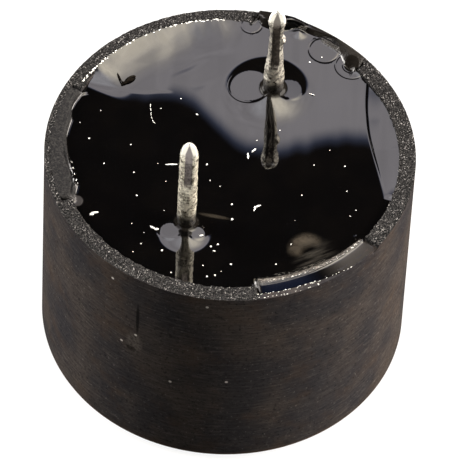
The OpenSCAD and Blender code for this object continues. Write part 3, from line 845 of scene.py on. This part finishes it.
def make_pin(name, node, at_x, girth, seed, finish, burr=0.0):
    """A pin with its finish: girth lists (height, radius) and burr is a lump at the right."""
    shank_top = PIN_TOP - TIP_LENGTH
    shank = [(PIN_R, PIN_ROOT_Z + (shank_top - PIN_ROOT_Z) * i / PIN_RINGS) for i in range(PIN_RINGS + 1)]
    tip = [(PIN_R, shank_top + TIP_LENGTH * i / TIP_RINGS) for i in range(1, TIP_RINGS + 1)]
    outline = ([(0, PIN_LOW), (PIN_HEAD_R, PIN_LOW), (PIN_HEAD_R, PIN_LOW + PIN_HEAD_T),
                (PIN_ROOT_R, PIN_LOW + PIN_HEAD_T), (PIN_ROOT_R, PIN_ROOT_Z - 0.02)]
               + shank + tip + [(0, PIN_TOP)])
    pin = lathe(name, outline, PIN_STEPS)
    points = points_of(pin)
    right, back, radius, turn = as_seen(points)
    free = (points[:, 2] > PIN_ROOT_Z - 0.01) & (radius > 0.01)
    heights, radii = np.array(girth).T
    along = np.clip((points[:, 2] - shank_top) / TIP_LENGTH, 0, 1)
    size = np.interp(points[:, 2], heights, radii) * np.clip(1 - along ** 2.2, 0.01, 1) ** 0.62
    rough = 0.014 * noise_at(points, 0.28, seed) + 0.012 * noise_at(points, 0.1, seed + 1)
    size += rough * (1 - 0.8 * wipe(along, 0, 0.3))
    size += burr * np.exp(-((points[:, 2] - BURR_Z) / 0.16) ** 2) * in_arc(turn, (320, 380), 15)
    unit = points[:, :2] / np.maximum(radius, 1e-6)[:, None]
    points[free, :2] = (unit * size[:, None])[free]
    right, back, radius, turn = as_seen(points)
    down = PIN_TOP - points[:, 2]
    flat_at = -(0.02 + 0.2 * wipe(down, -0.1, 0.75) + 0.045 * wipe(down, 0.6, 2.2)
                + 0.1 * wipe(down, 1.8, 2.6))
    cut = free & (back < flat_at)
    points[cut, :2] += ((flat_at - back)[:, None] * np.array(to_back)[:2])[cut]
    points[:, 0] += at_x
    put_points(pin, points, crease=40)
    stand_in(pin, node, "pins", finish)


# both pins are the same tin; the positive one gets darker tones and more stains, partly stains and partly
# painted reflection of the dark in front of it
plus_tin_painted_darker = tin("plus_tin_painted_darker", PIN_X, rgb(0.06, 0.05, 0.04), rgb(0.80, 0.76, 0.66), 0.6,
               rgb(0.09, 0.075, 0.065), 9.6)
make_pin("plus_pin", "positive_pin", PIN_X, PLUS_GIRTH, 11, plus_tin_painted_darker, burr=0.1)
minus_tin = tin("minus_tin", -PIN_X, rgb(0.14, 0.12, 0.08), rgb(0.97, 0.92, 0.76), 0.15,
                rgb(0.14, 0.12, 0.125), 10.3)
make_pin("minus_pin", "negative_pin", -PIN_X, MINUS_GIRTH, 23, minus_tin)


# ---------------------------------------------------------------- dust
# White specks, lint, grit along the rim and a hair, all lying loose on the resin, and one dark
# crumb. The grit along the rim's inner edge at the back left and along the front lip's crest is
# also a painted highlight, standing in for the glints there. Each bit is a small ball, stretched
# and turned.

SPECKS = (
    # right, back and radius, all in hundredths of a millimetre
    (-426, 163, 3), (-491, 108, 2), (-458, 44, 5), (-322, 28, 3), (-404, -56, 4), (-231, -44, 3),
    (-306, -86, 4), (-292, -180, 4), (-169, 230, 3), (-232, 184, 3), (-114, 167, 5), (-202, -116, 2),
    (-73, -38, 5), (-60, -103, 3), (-27, -125, 3), (14, -196, 5), (17, -257, 5), (84, 72, 3),
    (157, 119, 3), (244, 411, 4), (372, -16, 4), (272, -18, 3), (237, -144, 4), (381, -118, 3),
    (412, -194, 3), (394, -219, 3), (218, -248, 2), (321, 47, 2), (209, -346, 4), (164, -429, 4),
    (283, 435, 3), (-293, -408, 3), (-201, -397, 5), (-68, -449, 4), (-53, -492, 4), (-28, -486, 5),
    (-9, -469, 3), (21, -439, 5), (-46, -371, 4), (-24, -361, 4), (-262, -329, 3), (-302, -295, 2),
    (-202, -235, 2), (-269, -374, 3), (-168, -484, 4),
)
LINT = (
    # right, back, length, width and turn in degrees
    (0.76, 0.29, 0.22, 0.05, 50), (0.58, 0.05, 0.26, 0.06, 95), (0.96, -2.0, 0.28, 0.06, 25),
    (0.88, -2.12, 0.16, 0.05, 70), (-1.87, -0.47, 0.42, 0.05, 6), (-2.35, -3.08, 0.22, 0.07, -30),
    (-2.22, -3.14, 0.16, 0.08, 10), (-4.23, -2.6, 0.26, 0.07, 15), (-4.32, -2.68, 0.14, 0.07, 0),
    (2.55, 2.75, 0.22, 0.035, -20), (-0.78, -3.3, 0.14, 0.06, 20), (-0.35, -3.9, 0.1, 0.04, 0),
)
# grit along the rim and lip; the rows on the back-left inner edge and the front crest are also painted
# highlights for their glints
RIM_GRIT_AND_GLINTS = (
    # first turn, last turn, first radius, last radius, height, how many, largest size in hundredths
    (93, 152, 5.56, 5.56, 8.505, 90, 3), (282, 322, 5.33, 5.44, 8.51, 36, 2),
    (281, 300, 5.80, 5.85, 8.50, 22, 2), (300, 313, 5.85, 5.965, 8.49, 12, 2),
    (280, 303, 5.955, 5.965, 8.485, 20, 2), (186, 199, 5.13, 5.06, 8.44, 7, 2),
)
HAIR = ((-2.67, 2.02), (-2.66, 1.85), (-2.63, 1.68), (-2.62, 1.5), (-2.58, 1.36), (-2.55, 1.26),
        (-2.46, 1.20))       # right and back of the hair's bends
CRUMB = (
    # right, back, length, width, turn in degrees and lift of each bit of the crumb
    (-3.38, 2.97, 0.46, 0.19, 40, 0.05), (-3.53, 2.83, 0.34, 0.11, 36, 0.04),
    (-3.72, 2.99, 0.46, 0.05, 114, 0.07), (-3.62, 2.80, 0.16, 0.07, 100, 0.04),
)
HEIGHT_SHIFT = 0.782         # how far back a raised spot seems to lie from the camera, per height
random.seed(4)


def surface_at(right, back):
    """Height of the resin at one spot."""
    spot = [np.array([value], float) for value in (right, back, math.hypot(right, back))]
    return resin_height(*spot, np.degrees(np.arctan2([back], [right])) % 360)[0]


def lay(right, back, lift=0.0):
    """The spot on the resin that is seen where a spot of the level plane would be."""
    back = back - HEIGHT_SHIFT * (surface_at(right, back) - RESIN_LEVEL)
    return (to_right * right + to_back * back + up * (surface_at(right, back) + lift)) * MM


def fleck(spot, radius, stretch, turn=0.0, rounds=1):
    """One bit of dust: a small ball, stretched and turned."""
    bpy.ops.mesh.primitive_ico_sphere_add(subdivisions=rounds, radius=radius, location=spot)
    bit = bpy.context.active_object
    bit.scale = stretch
    bit.rotation_euler = (0, 0, turn)
    return bit


def join(pieces, name, finish):
    """Make one finished piece of several bits."""
    pick(pieces[0])
    for piece in pieces:
        piece.select_set(True)
    bpy.ops.object.join()
    bpy.ops.object.transform_apply(location=True, rotation=True, scale=True)
    whole = bpy.context.active_object
    whole.name = name
    whole.data.materials.append(finish)
    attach(whole, "root")


bits = []
for right_at, back_at, size in SPECKS:
    bits.append(fleck(lay(right_at / 100, back_at / 100), size * 0.8e-2 * MM,
                      (random.uniform(0.7, 1.2), random.uniform(0.7, 1.2), 0.6)))
for right_at, back_at, length, width, turn in LINT:
    bits.append(fleck(lay(right_at, back_at, 0.02), MM / 2, (length, width, width * 0.7),
                      math.radians(turn) - PIN_LINE, rounds=2))
for first, last, near, far, height, count, size in RIM_GRIT_AND_GLINTS:
    for _ in range(count):
        share = random.random()
        turn = math.radians(first + (last - first) * share)
        out = near + (far - near) * share + random.uniform(-0.03, 0.03)
        spot = (to_right * (out * math.cos(turn)) + to_back * (out * math.sin(turn)) + up * height) * MM
        bits.append(fleck(spot, size * random.uniform(0.4, 1) * 1e-2 * MM,
                          (0.8, random.uniform(0.8, 2.2), 0.6), turn - PIN_LINE))
for (right_at, back_at), (right_to, back_to) in zip(HAIR, HAIR[1:]):
    run = to_right * (right_to - right_at) + to_back * (back_to - back_at)
    bits.append(fleck(lay((right_at + right_to) / 2, (back_at + back_to) / 2, 0.01), MM / 2,
                      (run.length * random.uniform(0.8, 1.1), 0.018, 0.014), math.atan2(run.y, run.x)))
white_dust, g, shader = new_finish("dust")
fluff = g.noise(g.place(), 20.0)
g.fill(shader, {"Base Color": g.mix(fluff.ease(0.3, 0.7), rgb(0.55, 0.55, 0.52), rgb(0.9, 0.9, 0.86)),
                "Roughness": 0.9})
join(bits, "dust", white_dust)

bits = [fleck(lay(right_at, back_at, lift), MM / 2, (length, width, width * 0.8),
              math.radians(turn) - PIN_LINE, rounds=2)
        for right_at, back_at, length, width, turn, lift in CRUMB]
crumb_black, g, shader = new_finish("dark_crumb")
husk = g.noise(g.place(), 12.0)
g.fill(shader, {"Base Color": g.mix(husk.ease(0.3, 0.7), rgb(0.002, 0.002, 0.002), rgb(0.010, 0.008, 0.006)),
                "Roughness": 0.6, "Specular IOR Level": 0.0})
join(bits, "dark_crumb", crumb_black)


# ---------------------------------------------------------------- inside
# The magnetic drive and the board, hidden by the case and the resin: steel plates and pole,
# ceramic magnet, wound coil on a nylon bobbin, and a small board with its driver.

INSIDE = (
    # node, slot, two colours, metal, roughness, grain in millimetres
    ("diaphragm", "diaphragm", rgb(0.50, 0.50, 0.51), rgb(0.62, 0.62, 0.63), 1.0, 0.32, 0.4),
    ("armature_disc", "armature", rgb(0.45, 0.45, 0.46), rgb(0.6, 0.6, 0.6), 1.0, 0.35, 0.4),
    ("seat_ring", "seat_ring", rgb(0.55, 0.53, 0.48), rgb(0.66, 0.64, 0.6), 1.0, 0.3, 0.5),
    ("ring_magnet", "magnet", rgb(0.05, 0.05, 0.052), rgb(0.09, 0.09, 0.092), 0.0, 0.6, 0.15),
    ("yoke_plate", "yoke", rgb(0.55, 0.54, 0.5), rgb(0.68, 0.67, 0.63), 1.0, 0.32, 0.6),
    ("pole_core", "pole", rgb(0.5, 0.5, 0.48), rgb(0.64, 0.63, 0.6), 1.0, 0.3, 0.5),
    ("coil_bobbin", "bobbin", rgb(0.62, 0.58, 0.48), rgb(0.7, 0.66, 0.56), 0.0, 0.5, 0.8),
    ("coil_winding", "winding", rgb(0.45, 0.16, 0.07), rgb(0.62, 0.26, 0.12), 0.8, 0.3, 0.1),
    ("coil_leads", "leads", rgb(0.45, 0.16, 0.07), rgb(0.62, 0.26, 0.12), 0.8, 0.3, 0.1),
    ("circuit_board", "board", rgb(0.10, 0.16, 0.07), rgb(0.14, 0.21, 0.1), 0.0, 0.5, 0.12),
    ("copper_pads", "copper", rgb(0.62, 0.34, 0.18), rgb(0.75, 0.44, 0.26), 1.0, 0.35, 0.2),
    ("transistor_body", "chip_body", rgb(0.012, 0.012, 0.013), rgb(0.03, 0.03, 0.03), 0.0, 0.55, 0.06),
    ("transistor_legs", "tinned_legs", rgb(0.6, 0.6, 0.58), rgb(0.75, 0.75, 0.73), 1.0, 0.3, 0.2),
    ("resistor_body", "resistor_body", rgb(0.01, 0.01, 0.012), rgb(0.03, 0.03, 0.034), 0.0, 0.4, 0.1),
    ("resistor_caps", "resistor_caps", rgb(0.6, 0.6, 0.58), rgb(0.75, 0.75, 0.73), 1.0, 0.3, 0.2),
    ("pin_solder", "solder", rgb(0.5, 0.5, 0.5), rgb(0.7, 0.7, 0.7), 1.0, 0.25, 0.3),
    ("lead_solder", "solder", rgb(0.5, 0.5, 0.5), rgb(0.7, 0.7, 0.7), 1.0, 0.25, 0.3),
)
for node, slot, dark, light, metal, roughness, grain_mm in INSIDE:
    finish, g, shader = new_finish(slot if slot not in bpy.data.materials else node)
    cloud = g.noise(g.place(), 1 / grain_mm, 3.0, 0.6)
    g.fill(shader, {"Base Color": g.mix(cloud.ease(0.35, 0.65), dark, light), "Metallic": metal,
                    "Roughness": (cloud * 0.16 + (roughness - 0.08)).clamped(),
                    "Normal": g.bump(cloud, 0.01, 0.3)})
    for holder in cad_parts[node].material_slots:
        holder.material = finish
